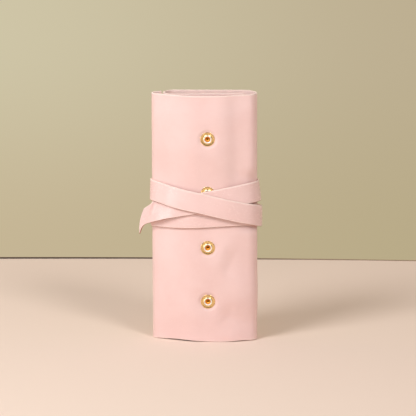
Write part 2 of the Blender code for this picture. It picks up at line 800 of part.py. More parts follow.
for number, z in enumerate(SNAP_HEIGHTS, 1):
    place = Vector((SNAP_X, face_y, z))
    flap_hinge = body(
        f"loop_hinge_{number}", (turn_x + loop_r, loop_centre.y, z), cover_hinge
    )
    low = z - LOOP_HEIGHT / 2
    high = z + LOOP_HEIGHT / 2
    base = leather_wall(
        f"loop_base_{number}", base_line, low, high, LOOP_LEATHER, lining_leather, cover_hinge
    )
    flap = leather_wall(
        f"loop_flap_{number}", flap_line, low, high, LOOP_LEATHER, lining_leather, flap_hinge
    )
    homes = {"snap_post": cover_hinge, "snap_stud": cover_hinge}
    for kind, mesh in snap_meshes.items():
        home = homes.get(kind, flap_hinge)
        turned(f"{kind}_{number}", mesh, place, gold_brass, home)
    barrel_hole = BARREL_R + HOLE_CLEARANCE
    drill(cover, f"pocket_{number}", place, POCKET_R, -LEATHER, POST_POCKET)
    drill(cover, f"cover_hole_{number}", place, barrel_hole, -LEATHER, 2 * LEATHER)
    drill(base, f"base_hole_{number}", place, barrel_hole, LEATHER, STUD_FRONT)
    cap_hole = CAP_POST_R + HOLE_CLEARANCE
    drill(flap, f"flap_hole_{number}", place, cap_hole, SOCKET_FLOOR, CAP_FRONT)

# The strap, wound round the roll, and its free end
outline = Outline(wrap_line())
rows, lengths = strap_rows(outline)
free_rows = tail_rows(rows[-1], rows[-2])
strap_home = body("strap_turns", (0, 0, 0), roll)
end_row = rows[-1]
end_run = end_row[1] - rows[-2][1]
end_normal = (end_row[2] - end_row[0]).cross(end_run).normalized()
crease = end_row[1] + end_normal * STRAP_T + end_run.normalized() * TAIL_GAP / 2
tail_home = body("tail_hinge", crease, strap_home)
ribbon("strap", rows, strap_leather, strap_home)
ribbon("strap_tail", free_rows, strap_leather, tail_home)
whole_length = lengths[-1] - lengths[0]
print(f"strap along its turns: {whole_length / MM:.1f} mm")
print(f"least gap of the strap to itself: {least_gap(rows, lengths) / MM:.2f} mm")

# The origin goes under the middle of the whole object
lowest, highest = bounds()
middle = (lowest + highest) / 2
roll.location = Vector((-middle.x, -middle.y, -lowest.z))
bpy.context.view_layer.update()
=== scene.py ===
import math

import bmesh
import bpy
from mathutils import Matrix, Vector, noise


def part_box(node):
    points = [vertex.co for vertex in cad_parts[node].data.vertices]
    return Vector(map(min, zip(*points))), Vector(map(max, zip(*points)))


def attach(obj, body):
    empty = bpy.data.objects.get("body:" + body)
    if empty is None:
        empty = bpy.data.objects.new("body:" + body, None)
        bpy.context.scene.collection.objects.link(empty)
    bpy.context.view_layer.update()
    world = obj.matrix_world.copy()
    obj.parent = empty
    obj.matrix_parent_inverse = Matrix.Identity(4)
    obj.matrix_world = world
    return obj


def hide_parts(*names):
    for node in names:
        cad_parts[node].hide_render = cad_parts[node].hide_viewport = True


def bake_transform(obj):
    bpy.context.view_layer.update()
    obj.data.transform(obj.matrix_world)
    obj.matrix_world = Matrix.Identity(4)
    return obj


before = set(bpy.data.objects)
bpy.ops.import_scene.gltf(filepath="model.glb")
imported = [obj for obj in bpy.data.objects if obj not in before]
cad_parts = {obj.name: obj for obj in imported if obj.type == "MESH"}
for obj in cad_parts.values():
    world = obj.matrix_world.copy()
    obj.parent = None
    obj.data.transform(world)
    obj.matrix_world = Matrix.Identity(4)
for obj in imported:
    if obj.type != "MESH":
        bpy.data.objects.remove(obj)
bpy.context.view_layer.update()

# The view: a long lens far in front of the roll, a little above it, so its sides stay upright.
# The roll's own middle is where its right fold and its back put it, not the middle of the CAD box.
MM = 0.001
ROLL_WIDTH = 90.4 * MM
ROLL_DEPTH = 31.5 * MM
ROLL_HEIGHT = 215.0 * MM
ROLL_MIDDLE = Vector(
    (
        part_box("spine")[1].x - ROLL_WIDTH / 2,
        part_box("back_panel")[1].y - ROLL_DEPTH / 2,
        0,
    )
)
VIEW_TURN = Matrix.Rotation(math.radians(1.5), 3, "Z")
VIEW_TARGET = ROLL_MIDDLE + VIEW_TURN @ Vector((2.917, 0, 114.45)) * MM
VIEW_DISTANCE = 3050.8 * MM
VIEW_DOWN = math.radians(12.404)
VIEW_ROLL = math.radians(-0.165)
VIEW_LENS = 307.18
SENSOR_WIDTH = 36.0


def placed(name, data):
    """Puts a mesh, lamp or camera into the scene as an object."""
    made = bpy.data.objects.new(name, data)
    bpy.context.scene.collection.objects.link(made)
    return made


ahead = VIEW_TURN @ Vector((0, math.cos(VIEW_DOWN), -math.sin(VIEW_DOWN)))
level = VIEW_TURN @ Vector((1, 0, 0))
upward = level.cross(ahead)
camera_x = level * math.cos(VIEW_ROLL) + upward * math.sin(VIEW_ROLL)
camera_y = upward * math.cos(VIEW_ROLL) - level * math.sin(VIEW_ROLL)
camera = placed("camera", bpy.data.cameras.new("camera"))
camera.matrix_world = Matrix.Translation(VIEW_TARGET - ahead * VIEW_DISTANCE) @ (
    Matrix((camera_x, camera_y, -ahead)).transposed().to_4x4()
)
camera.data.lens = VIEW_LENS
camera.data.sensor_width = SENSOR_WIDTH
camera.data.clip_start = 0.05
camera.data.clip_end = 60
bpy.context.scene.camera = camera
bpy.context.scene.view_settings.view_transform = "Standard"


# The smooth leather of the roll: a fine-grained, slightly satin skin, dyed through, with its hair
# side out. It is cut from one hide, so grain and colour run on from one part of the sheet to the
# next. The loops and the strap are cut and finished in the same way.
class Shade:
    """A socket of a material's nodes that takes part in plain Python maths."""

    def __init__(self, tree, socket=None):
        self.tree = tree
        self.socket = socket

    def make(self, kind, settings=None, inputs=None, out=0):
        """Adds a node with these settings, feeds its sockets and gives back one output."""
        node = self.tree.nodes.new(kind)
        for name, value in (settings or {}).items():
            setattr(node, name, value)
        for name, value in (inputs or {}).items():
            socket = node.inputs[name]
            if isinstance(value, Shade):
                self.tree.links.new(value.socket, socket)
            else:
                socket.default_value = value
        return Shade(self.tree, node.outputs[out])

    def math(self, operation, first, second):
        return self.make("ShaderNodeMath", {"operation": operation}, {0: first, 1: second})

    def __add__(self, other):
        return self.math("ADD", self, other)

    __radd__ = __add__

    def __mul__(self, other):
        return self.math("MULTIPLY", self, other)

    __rmul__ = __mul__

    def __sub__(self, other):
        return self.math("SUBTRACT", self, other)

    def __rsub__(self, other):
        return self.math("SUBTRACT", other, self)

    def fade(self, start, end):
        """0 up to start and 1 from end on, with a soft change between."""
        return self.make(
            "ShaderNodeMapRange",
            {"interpolation_type": "SMOOTHSTEP"},
            {"Value": self, "From Min": start, "From Max": end},
        )

    def between(self, low, high):
        """A colour that goes from low to high as this goes from 0 to 1."""
        # The Mix node has its two colours in sockets 6 and 7 and gives the mixed one in output 2.
        colours = [c if isinstance(c, Shade) else (*c, 1.0) for c in (low, high)]
        return self.make(
            "ShaderNodeMix",
            {"data_type": "RGBA"},
            {0: self, 6: colours[0], 7: colours[1]},
            out=2,
        )

    def stretched(self, x, y, z):
        """This place with its three parts multiplied."""
        return self.make(
            "ShaderNodeVectorMath", {"operation": "MULTIPLY"}, {0: self, 1: (x, y, z)}
        )

    def noise(self, scale, detail, roughness):
        return self.make(
            "ShaderNodeTexNoise",
            None,
            {"Vector": self, "Scale": scale, "Detail": detail, "Roughness": roughness},
        )


def new_material(name):
    made = bpy.data.materials.new(name)
    made.use_nodes = True
    shader = made.node_tree.nodes["Principled BSDF"]
    return made, shader, Shade(made.node_tree)


def feed(shader, name, shade):
    shade.tree.links.new(shade.socket, shader.inputs[name])


def bumped(shader, height, strength, distance):
    normal = height.make(
        "ShaderNodeBump", None, {"Height": height, "Strength": strength, "Distance": distance}
    )
    feed(shader, "Normal", normal)


def tinted(colour, shares):
    """A colour with its red, green and blue multiplied by these shares."""
    return tuple(min(1.0, c * share) for c, share in zip(colour, shares))


def skin_parts(shade):
    """The "skin" that each leather mesh stores, whole and as its three parts: how far along the
    strip, how far across it, and how far from its edge or, on the cut edge, how deep in it."""
    skin = shade.make("ShaderNodeAttribute", {"attribute_name": "skin"}, out="Vector")
    parts = [
        shade.make("ShaderNodeSeparateXYZ", None, {"Vector": skin}, out=k) for k in range(3)
    ]
    return skin, parts


RUBBED_WIDTH = 1.6 * MM
RUBBED_COLOUR = (0.97, 0.80, 0.74)


def hair_side(name, colour, roughness):
    """The outer face: fine pores and creases, faint clouds in the dye, paler rubbed edges."""
    made, shader, shade = new_material(name)
    skin, (_, _, from_edge) = skin_parts(shade)
    clouds = skin.noise(26.0, 3.0, 0.55).fade(0.3, 0.72)
    flecks = skin.noise(420.0, 2.0, 0.6).fade(0.45, 0.8)
    tone = clouds.between(tinted(colour, (0.965, 0.93, 0.92)), colour)
    tone = (flecks * 0.25).between(tone, tinted(colour, (1.02, 1.05, 1.06)))
    rubbed = (1 - from_edge.fade(0.0, RUBBED_WIDTH)) * (0.45 + 0.4 * flecks)
    tone = rubbed.between(tone, RUBBED_COLOUR)
    feed(shader, "Base Color", tone)
    cells = skin.make(
        "ShaderNodeTexVoronoi",
        {"feature": "SMOOTH_F1"},
        {"Vector": skin.stretched(1.0, 1.25, 1.0), "Scale": 1350.0, "Smoothness": 0.6},
    )
    wrinkles = skin.stretched(1.0, 0.55, 1.0).noise(300.0, 4.0, 0.6)
    pores = skin.noise(1900.0, 2.0, 0.5).fade(0.62, 0.75)
    height = cells * 0.5 + wrinkles * 0.8 - pores * 0.35
    bumped(shader, height, 0.32, 0.00022)
    feed(shader, "Roughness", roughness - 0.07 * clouds + 0.1 * flecks + 0.12 * pores)
    shader.inputs["Specular IOR Level"].default_value = 0.42
    shader.inputs["Sheen Weight"].default_value = 0.08
    shader.inputs["Sheen Roughness"].default_value = 0.45
    return made


def flesh_side(name, colour):
    """The inner face: short matte nap with a soft, brushed cast."""
    made, shader, shade = new_material(name)
    skin, _ = skin_parts(shade)
    brushed = skin.stretched(1.0, 0.35, 1.0).noise(150.0, 4.0, 0.6)
    nap = skin.noise(1500.0, 3.0, 0.65)
    deep = tinted(colour, (0.86, 0.86, 0.86))
    feed(shader, "Base Color", (brushed * 0.6 + nap * 0.4).fade(0.3, 0.7).between(deep, colour))
    bumped(shader, nap + brushed * 0.5, 0.5, 0.0003)
    shader.inputs["Roughness"].default_value = 0.85
    shader.inputs["Specular IOR Level"].default_value = 0.2
    shader.inputs["Sheen Weight"].default_value = 0.25
    return made


def raw_edge(name, colour, shaded_low_colour=None, width=1.0):
    """The cut edge: pale fibres in layers between the two faces. On a strip of this width the
    lower edge can be given painted shade: a darker colour of its own."""
    made, shader, shade = new_material(name)
    skin, (_, across, _) = skin_parts(shade)
    layers = skin.stretched(0.12, 0.12, 1.0).noise(2600.0, 3.0, 0.6)
    fibres = skin.noise(1200.0, 3.0, 0.7)
    mottled = (layers * 0.5 + fibres * 0.5).fade(0.35, 0.62)
    tone = mottled.between(tinted(colour, (0.9, 0.8, 0.76)), colour)
    if shaded_low_colour:
        # Painted shade: the lower cut edge gets a darker, redder colour of its own.
        painted_shade_tone = mottled.between(tinted(shaded_low_colour, (0.8, 0.8, 0.8)), shaded_low_colour)
        tone = across.fade(width * 0.3, width * 0.7).between(painted_shade_tone, tone)
    feed(shader, "Base Color", tone)
    bumped(shader, layers + fibres * 0.6, 0.5, 0.00018)
    shader.inputs["Roughness"].default_value = 0.8
    shader.inputs["Specular IOR Level"].default_value = 0.25
    return made


# Front of the leather sheet: from the middle of the right fold across the front, round the tight
# left fold, to the short margin on the back. The snaps hold it flat and pull shallow dimples in it.
# Its four snap holes are punched through.
LEATHER = 1.6 * MM
EDGE_ROUND = 0.32 * MM
# A rounded edge is drawn by its two ends and one point between, this share of its radius inside.
ROUND_MIDDLE = 0.3
INSET_SHRINK = 0.9
RIGHT_FOLD_R = 14.0 * MM
LEFT_FOLD_R = 6.0 * MM
LEFT_FOLD_SETBACK = 18.75 * MM
FRONT_Y = -ROLL_DEPTH / 2
BACK_Y = ROLL_DEPTH / 2
FRONT_RIGHT_SLOPE = 20.0
FRONT_LEFT_SLOPE = 27.0
BACK_LEFT_SLOPE = 19.0
FRONT_FLAT = 13.6 * MM
INNER_FOLD_R = 10.5 * MM
INNER_FOLD_X = -ROLL_WIDTH / 2 + 9.8 * MM
MARGIN_END_X = INNER_FOLD_X - 2.0 * MM
# The front's foot is a little uneven, and this far up nothing of that is left.
LIFTED_FOOT = 45.0 * MM
SNAP_X = 3.1 * MM
SNAP_RIM_R = 6.2 * MM
SNAP_PITCH = 47.4 * MM
SNAP_MIDDLE_Z = ROLL_HEIGHT / 2 - 0.9 * MM
SNAP_HEIGHTS = [SNAP_MIDDLE_Z + SNAP_PITCH * (1.5 - i) for i in range(4)]
RIGHT_CENTRE = Vector((ROLL_WIDTH / 2 - RIGHT_FOLD_R, BACK_Y - RIGHT_FOLD_R))
LEFT_CENTRE = Vector((-ROLL_WIDTH / 2 + LEFT_FOLD_R, FRONT_Y + LEFT_FOLD_SETBACK))
INNER_CENTRE = Vector((INNER_FOLD_X + INNER_FOLD_R, BACK_Y - INNER_FOLD_R))
ROW_STEP = 1.15 * MM
HAIR, FLESH, CUT, SEAM = range(4)
CUT_POINTS = 4
NO_EDGE = 1.0


def arc(centre, radius, start, end, step=3.5):
    """Points round a centre, from one direction to another, in degrees."""
    count = max(2, math.ceil(abs(end - start) / step))
    turns = [math.radians(start + (end - start) * i / count) for i in range(count + 1)]
    return [centre + radius * Vector((math.cos(a), math.sin(a))) for a in turns]


def heading(degrees, length):
    """An arm of this length in this direction, in degrees."""
    return Vector((math.cos(math.radians(degrees)), math.sin(math.radians(degrees)))) * length


def bend(a, leave, arrive, b, steps):
    """A smooth curve from a to b that leaves and arrives along the two given arms."""
    first = a + leave
    last = b + arrive
    line = []
    for i in range(steps + 1):
        t = i / steps
        u = 1 - t
        line.append(a * u**3 + first * (3 * u * u * t) + last * (3 * u * t * t) + b * t**3)
    return line


def joined(*lines):
    """One line of several, where each begins at the point where the one before it ends."""
    whole = list(lines[0])
    for line in lines[1:]:
        whole.extend(line[1:])
    return whole


def front_line():
    """The front's outer line, from the right fold to the left fold."""
    right_end = arc(RIGHT_CENTRE, RIGHT_FOLD_R, FRONT_RIGHT_SLOPE - 90, 0)[0]
    left_end = arc(LEFT_CENTRE, LEFT_FOLD_R, 270 - FRONT_LEFT_SLOPE, 270)[0]
    flat_right = Vector((SNAP_X + FRONT_FLAT / 2, FRONT_Y))
    flat_left = Vector((SNAP_X - FRONT_FLAT / 2, FRONT_Y))
    right_run = right_end.x - flat_right.x
    left_run = flat_left.x - left_end.x
    right = bend(
        right_end,
        heading(180 + FRONT_RIGHT_SLOPE, right_run * 0.35),
        Vector((right_run * 0.4, 0)),
        flat_right,
        22,
    )
    flat = [flat_right.lerp(flat_left, i / 16) for i in range(17)]
    left = bend(
        flat_left,
        Vector((-left_run * 0.42, 0)),
        heading(-FRONT_LEFT_SLOPE, left_run / 3),
        left_end,
        34,
    )
    return joined(right, flat, left)


def back_left_line():
    """From the left fold along the margin to the flat back."""
    start = arc(LEFT_CENTRE, LEFT_FOLD_R, 90 + BACK_LEFT_SLOPE, 180)[0]
    end = Vector((INNER_CENTRE.x, BACK_Y))
    run = end.x - start.x
    return bend(start, heading(BACK_LEFT_SLOPE, run * 0.3), Vector((-run * 0.45, 0)), end, 20)


def outward(line):
    """Outward directions of a line that runs clockwise seen from above."""
    found = []
    for i in range(len(line)):
        run = line[min(i + 1, len(line) - 1)] - line[max(i - 1, 0)]
        found.append(Vector((-run.y, run.x)).normalized())
    return found


def leather_strip(name, grid, normals, thickness, finishes, begins=0.0, seams=()):
    """A strip of leather: grid[i][j] is its outer face, i along it and j across it. At a seam, 0
    or 1 for its start or end, the leather runs on in another piece and has no edge."""
    last_i = len(grid) - 1
    last_j = len(grid[0]) - 1
    along = [begins]
    for i in range(last_i):
        along.append(along[-1] + (grid[i + 1][last_j // 2] - grid[i][last_j // 2]).length)
    across = [0.0]
    for j in range(last_j):
        across.append(across[-1] + (grid[0][j + 1] - grid[0][j]).length)
    points = []
    skins = []

    def ring(i, inset, push):
        """One section: its outer face, rounded edge, inner face and rounded edge. At the strip's
        ends it is set in and pushed along, and its own rounding shrinks."""
        r = EDGE_ROUND - inset * INSET_SHRINK
        t = thickness - inset
        forward = grid[min(i + 1, last_i)][0] - grid[max(i - 1, 0)][0]
        shift = forward.normalized() * push
        first = len(points)
        ends = [along[i] - along[0] if 0 not in seams else NO_EDGE]
        ends.append(along[-1] - along[i] if 1 not in seams else NO_EDGE)

        def add(j, depth, move, cut=False):
            k = min(max(j, 1), last_j)
            up = (grid[i][k] - grid[i][k - 1]).normalized()
            points.append(grid[i][j] + up * move - normals[i][j] * depth + shift)
            edge = min(across[j], across[-1] - across[j], *ends)
            skins.append((along[i], across[j], depth if cut else edge))

        moves = [inset + r] + [0.0] * (last_j - 1) + [-inset - r]
        for j in range(last_j + 1):
            add(j, inset, moves[j])
        m = ROUND_MIDDLE * r
        cut_points = [(inset + m, inset + m), (inset + r, inset), (t - r, inset), (t - m, inset + m)]
        for depth, move in cut_points:
            add(last_j, depth, -move, cut=True)
        for j in range(last_j, -1, -1):
            add(j, t, moves[j])
        for depth, move in reversed(cut_points):
            add(0, depth, move, cut=True)
        return first

    starts = [ring(i, 0.0, 0.0) for i in range(last_i + 1)]
    middle = (ROUND_MIDDLE * EDGE_ROUND, (1 - ROUND_MIDDLE) * EDGE_ROUND)
    rounds = [middle, (EDGE_ROUND, EDGE_ROUND)]
    if 0 not in seams:
        starts = [ring(0, inset, -push) for inset, push in reversed(rounds)] + starts
    if 1 not in seams:
        starts += [ring(last_i, inset, push) for inset, push in rounds]
    inner_start = last_j + 1 + CUT_POINTS
    size = 2 * inner_start
    faces = []
    kinds = []
    for place, (a, b) in enumerate(zip(starts, starts[1:])):
        at_start = place < len(rounds) and 0 not in seams
        at_end = place >= len(starts) - 1 - len(rounds) and 1 not in seams
        for k in range(size):
            m = (k + 1) % size
            faces.append((a + k, a + m, b + m, b + k))
            outer = k < last_j
            inner = inner_start <= k < inner_start + last_j
            at_edge = at_start or at_end or not (outer or inner)
            kinds.append(CUT if at_edge else HAIR if outer else FLESH)
    far = inner_start + last_j
    for end, first, turn in ((0, starts[0], -1), (1, starts[-1], 1)):
        last = first + far
        caps = [[first + j, first + j + 1, last - j - 1, last - j] for j in range(last_j)]
        caps.append([first + last_j + k for k in range(CUT_POINTS + 2)])
        caps.append([last + k for k in range(CUT_POINTS + 1)] + [first])
        for cap in caps:
            faces.append(tuple(cap[::turn]))
            kinds.append(SEAM if end in seams else CUT)
    mesh = bpy.data.meshes.new(name)
    mesh.from_pydata([tuple(p) for p in points], [], faces)
    # The seams' faces have the raw edge's finish until they are opened.
    for finish in (*finishes, finishes[-1]):
        mesh.materials.append(finish)
    mesh.polygons.foreach_set("material_index", kinds)
    skin = mesh.attributes.new("skin", "FLOAT_VECTOR", "POINT")
    skin.data.foreach_set("vector", [c for row in skins for c in row])
    bm = bmesh.new()
    bm.from_mesh(mesh)
    if bm.calc_volume(signed=True) < 0:
        bmesh.ops.reverse_faces(bm, faces=bm.faces[:])
    bm.to_mesh(mesh)
    bm.free()
    mesh.shade_smooth()
    return placed(name, mesh), along[-1]


def finished(piece, places=(), radius=0.0, depth=0.0):
    """Punches round holes through a leather piece, then opens its seams."""
    if places:
        punches = bmesh.new()
        for place in places:
            bmesh.ops.create_cone(
                punches,
                cap_ends=True,
                segments=32,
                radius1=radius,
                radius2=radius,
                depth=depth,
                matrix=Matrix.Translation(place) @ Matrix.Rotation(math.radians(90), 4, "X"),
            )
        mesh = bpy.data.meshes.new("punches")
        punches.to_mesh(mesh)
        punches.free()
        punch = placed("punches", mesh)
        cut = piece.modifiers.new("holes", "BOOLEAN")
        cut.operation = "DIFFERENCE"
        cut.solver = "EXACT"
        cut.object = punch
        bpy.context.view_layer.update()
        graph = bpy.context.evaluated_depsgraph_get()
        holed = bpy.data.meshes.new_from_object(piece.evaluated_get(graph))
        piece.modifiers.clear()
        piece.data = holed
        bpy.data.objects.remove(punch)
    bm = bmesh.new()
    bm.from_mesh(piece.data)
    seam = [f for f in bm.faces if f.material_index == SEAM]
    bmesh.ops.delete(bm, geom=seam, context="FACES_ONLY")
    bm.to_mesh(piece.data)
    bm.free()


def upright_grid(line, relief=None, lift=None):
    """The outer face of leather that stands on edge along a line, in rows from floor to top."""
    rows = round(ROLL_HEIGHT / ROW_STEP)
    grid = []
    for place, n in zip(line, outward(line)):
        side = Vector((n.x, n.y, 0))
        column = []
        for j in range(rows + 1):
            z = ROLL_HEIGHT * j / rows
            height = relief(place, z) if relief else 0.0
            rise = lift(place) * (1 - eased(z / LIFTED_FOOT)) if lift else 0.0
            column.append(ROLL_MIDDLE + Vector((place.x, place.y, z + rise)) + side * height)
        grid.append(column)
    return grid


def grid_normals(grid):
    """Outward directions of a lofted face, from its own rows and columns."""
    last_i = len(grid) - 1
    last_j = len(grid[0]) - 1
    found = []
    for i in range(last_i + 1):
        row = []
        for j in range(last_j + 1):
            run = grid[min(i + 1, last_i)][j] - grid[max(i - 1, 0)][j]
            rise = grid[i][min(j + 1, last_j)] - grid[i][max(j - 1, 0)]
            row.append(rise.cross(run).normalized())
        found.append(row)
    return found


def eased(t):
    """0 below 0, 1 above 1, with a soft change between."""
    t = min(1.0, max(0.0, t))
    return t * t * (3 - 2 * t)


def hill(x, centre, width):
    """1 at the centre, fading to both sides."""
    return math.exp(-(((x - centre) / width) ** 2))


def crease(x, z, start, end, width):
    """A soft fold on the front, in mm: down by 1 across a line, to its lower right, then slowly
    back up."""
    a, run, p = Vector(start), Vector(end) - Vector(start), Vector((x, z))
    along = (p - a).dot(run) / run.length_squared
    beyond = (p - a).dot(Vector((-run.y, run.x)).normalized())
    drop = eased(beyond / width + 0.5) * (1 - eased((beyond / width - 0.8) / 3))
    return drop * hill(along, 0.5, 0.55)


def before_left_fold(place):
    """1 on the front, fading to 0 where the leather turns back at the left fold."""
    return eased((LEFT_CENTRE.y - 2 * MM - place.y) / (5 * MM))


# The strap presses the leather flat between these two heights, in mm.
UNDER_STRAP = (98, 142)


def front_relief(place, z):
    """How far the front stands out from its plain form. Each term is a height in mm and where it
    lies: x from the roll's middle and z from the foot, both in mm."""
    on_front = before_left_fold(place)
    if place.x > 0:
        # On the right the relief runs out over the fold.
        on_front = eased((RIGHT_CENTRE.y - place.y) / (12.5 * MM))
    x = place.x / MM
    z = z / MM
    below, above = UNDER_STRAP[0] - z, z - UNDER_STRAP[1]
    clear = max(eased(below / 28), eased(above / 30))
    free = max(eased((below + 4) / 10), eased((above + 1) / 12))
    drawn_in = 1.0
    for snap in SNAP_HEIGHTS:
        away = math.hypot(x - SNAP_X / MM, z - snap / MM) - SNAP_RIM_R / MM
        drawn_in *= 0.72 * eased(away / 2.2) + 0.28 * eased(away / 12)
    ripple = noise.noise(Vector((x * 0.026, z * 0.017, 3.1)))
    fullness = (1.5 + 0.3 * ripple) * drawn_in * clear
    upper_hollow = 2.2 * eased((x - 7) / 28) + 0.9 * hill(x, 27.0, 7.0)
    upper_hollow *= eased((z - 112) / 40)
    right_swell = 1.9 * hill(x, 43.8, 4.8) + 1.3 * hill(z, 148, 18) * eased((x - 27) / 15)
    lower_rise = 1.6 * eased((x - 17) / 22) * (1 - 0.35 * eased((x - 36) / 8))
    lower_rise *= eased((below + 4) / 8) * eased((z - 12) / 40)
    folds = 2.3 * crease(x, z, (25, 88), (14, 62), 14.0) * free
    folds += 2.0 * crease(x, z, (20, 33), (12, 16), 13.0)
    lean = 2.2 * eased((z - 188) / 27)
    foot = eased((70 - z) / 70) * (0.8 * hill(x, 31, 12) - 0.9 * hill(x, -24, 13))
    foot -= 0.8 * eased((34 - z) / 26) * hill(x, -24, 10)
    height = fullness - upper_hollow + right_swell * free + lower_rise - folds - lean + foot
    return height * MM * on_front


def front_lift(place):
    """The cut lower edge isn't quite straight: near both folds it clears the table."""
    x = place.x / MM
    return (1.2 * hill(x, -20, 19) + 0.9 * hill(x, 31, 11)) * MM * before_left_fold(place)


def line_length(line):
    return sum((b - a).length for a, b in zip(line, line[1:]))


PINK = (0.905, 0.651, 0.609)
sheet_finish = [
    hair_side("pink_hair_side", PINK, 0.5),
    flesh_side("pink_flesh_side", (0.98, 0.75, 0.69)),
    raw_edge("pink_raw_edge", (0.97, 0.80, 0.73)),
]
# The seams lie in the folds. Beside each the leather has one narrow row of this many degrees.
SEAM_STEP = 0.5
INNER_END = Vector((ROLL_WIDTH / 2 - 11.8 * MM, FRONT_Y + 13.15 * MM))
fold_end = Vector((INNER_CENTRE.x, INNER_CENTRE.y - INNER_FOLD_R))
inner_run = INNER_END.x - fold_end.x
inner_panel_line = bend(
    fold_end, Vector((inner_run * 0.14, 0)), Vector((-inner_run * 0.55, 0)), INNER_END, 44
)
inner_seam = Vector((INNER_CENTRE.x, BACK_Y))
right_seam = RIGHT_CENTRE + Vector((RIGHT_FOLD_R, 0))
inner_path = joined(
    inner_panel_line[::-1], arc(INNER_CENTRE, INNER_FOLD_R, 270, 90 + SEAM_STEP, 5)
)
inner_path.append(inner_seam)
back_flat = [inner_seam.lerp(Vector((RIGHT_CENTRE.x, BACK_Y)), i / 40) for i in range(41)]
back_flat.insert(1, inner_seam + Vector((0.1 * MM, 0)))
back_path = joined(back_flat, arc(RIGHT_CENTRE, RIGHT_FOLD_R, 90, SEAM_STEP))
back_path.append(right_seam)
left_fold = arc(LEFT_CENTRE, LEFT_FOLD_R, 270 - FRONT_LEFT_SLOPE, 90 + BACK_LEFT_SLOPE, 6)
margin = [p for p in back_left_line() if p.x <= MARGIN_END_X]
cover_path = joined(
    arc(RIGHT_CENTRE, RIGHT_FOLD_R, -SEAM_STEP, FRONT_RIGHT_SLOPE - 90),
    front_line(),
    left_fold,
    margin,
)
cover_path.insert(0, right_seam)
inner_length = line_length(inner_path)

front_grid = upright_grid(cover_path, front_relief, front_lift)
front_sheet, _ = leather_strip(
    "front_sheet",
    front_grid,
    grid_normals(front_grid),
    LEATHER,
    sheet_finish,
    begins=inner_length + line_length(back_path),
    seams=(0,),
)
PUNCH_R = 2.5 * MM
PUNCH_DEPTH = 8.0 * MM
snap_places = [ROLL_MIDDLE + Vector((SNAP_X, FRONT_Y, z)) for z in SNAP_HEIGHTS]
finished(front_sheet, snap_places, PUNCH_R, PUNCH_DEPTH)
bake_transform(front_sheet)
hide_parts("front_cover")

# Back of the same sheet: from the middle of the right fold along the flat back to where the leather
# turns in on itself. It stands on the table and carries everything else.
back_grid = upright_grid(back_path)
back_sheet, _ = leather_strip(
    "back_sheet",
    back_grid,
    grid_normals(back_grid),
    LEATHER,
    sheet_finish,
    begins=inner_length,
    seams=(0, 1),
)
finished(back_sheet)
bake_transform(back_sheet)
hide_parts("back_panel", "spine")

# Inside of the same sheet: it turns in at the left in a round fold and runs back to the right as
# the innermost panel, where it ends in a free cut edge.
inner_grid = upright_grid(inner_path)
inner_sheet, _ = leather_strip(
    "inner_sheet", inner_grid, grid_normals(inner_grid), LEATHER, sheet_finish, seams=(1,)
)
finished(inner_sheet)
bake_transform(inner_sheet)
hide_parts("inner_panel")


# Ring snaps: brass gilt pieces, turned and pressed. The post is a hollow rivet with a rolled rim
# and a raised ring round its bore, set from outside. Inside it holds the stud, and the socket and
# its cap sit on the loop.
def brass(name, colour, roughness, metal=1.0):
    """Gilt brass with a worn polish: fine turning lines and a few darker, duller patches."""
    made, shader, shade = new_material(name)
    spot = shade.make("ShaderNodeTexCoord", None, None, out="Object")
    dull = spot.noise(700.0, 3.0, 0.6).fade(0.45, 0.75)
    fine = spot.noise(5200.0, 2.0, 0.5)
    deep = tinted(colour, (0.82, 0.72, 0.6))
    feed(shader, "Base Color", (dull * 0.6).between(colour, deep))
    shader.inputs["Metallic"].default_value = metal
    feed(shader, "Roughness", roughness + 0.16 * dull + 0.04 * fine)
    bumped(shader, fine + dull * 0.3, 0.12, 0.00004)
    return made


gilt = brass("gilt_brass", (0.90, 0.64, 0.29), 0.2)
# The pale, nearly white crown of the post's ring is a painted highlight.
crown = brass("ring_crown_painted_highlight", (1.0, 0.95, 0.84), 0.32, 0.45)
tarnished = brass("tarnished_bore", (0.90, 0.42, 0.05), 0.4, 0.9)
TURNED_STEPS = 72
# In mm, as the profiles below: how far out the post's bore and its ring reach, and at what depth
# the bore begins and the ring ends.
BORE_R = 2.3
RING_R = 3.45
BORE_MOUTH = -0.2
RING_BACK = 0.3
ON_AXIS = 0.001


def turned_piece(name, profile, place, highlight_r=0.0, bore_r=0.0):
    """A turned piece from a closed profile of (radius, depth behind the leather's face) in mm.
    Within highlight_r its ring is nearly white, a painted highlight, and its bore is tarnished
    within bore_r."""
    bm = bmesh.new()
    rings = []
    for r, d in profile:
        if r < ON_AXIS:
            rings.append([bm.verts.new((0, d * MM, 0))])
            continue
        turns = [math.tau * k / TURNED_STEPS for k in range(TURNED_STEPS)]
        rings.append(
            [bm.verts.new((r * MM * math.cos(a), d * MM, r * MM * math.sin(a))) for a in turns]
        )
    for a, b in zip(rings, rings[1:] + rings[:1]):
        for k in range(TURNED_STEPS):
            m = (k + 1) % TURNED_STEPS
            corners = []
            for vert in (a[k % len(a)], a[m % len(a)], b[m % len(b)], b[k % len(b)]):
                if vert not in corners:
                    corners.append(vert)
            if len(corners) > 2:
                face = bm.faces.new(corners)
                centre = face.calc_center_median() / MM
                r = math.hypot(centre.x, centre.z)
                if r < bore_r and centre.y > BORE_MOUTH:
                    face.material_index = 2
                elif r < highlight_r and centre.y < RING_BACK:
                    face.material_index = 1
    bmesh.ops.recalc_face_normals(bm, faces=bm.faces[:])
    bm.transform(Matrix.Translation(place))
    mesh = bpy.data.meshes.new(name)
    bm.to_mesh(mesh)
    bm.free()
    mesh.shade_smooth()
    mesh.set_sharp_from_angle(angle=math.radians(48))
    for finish in (gilt, crown, tarnished):
        mesh.materials.append(finish)
    piece = placed(name, mesh)
    return piece


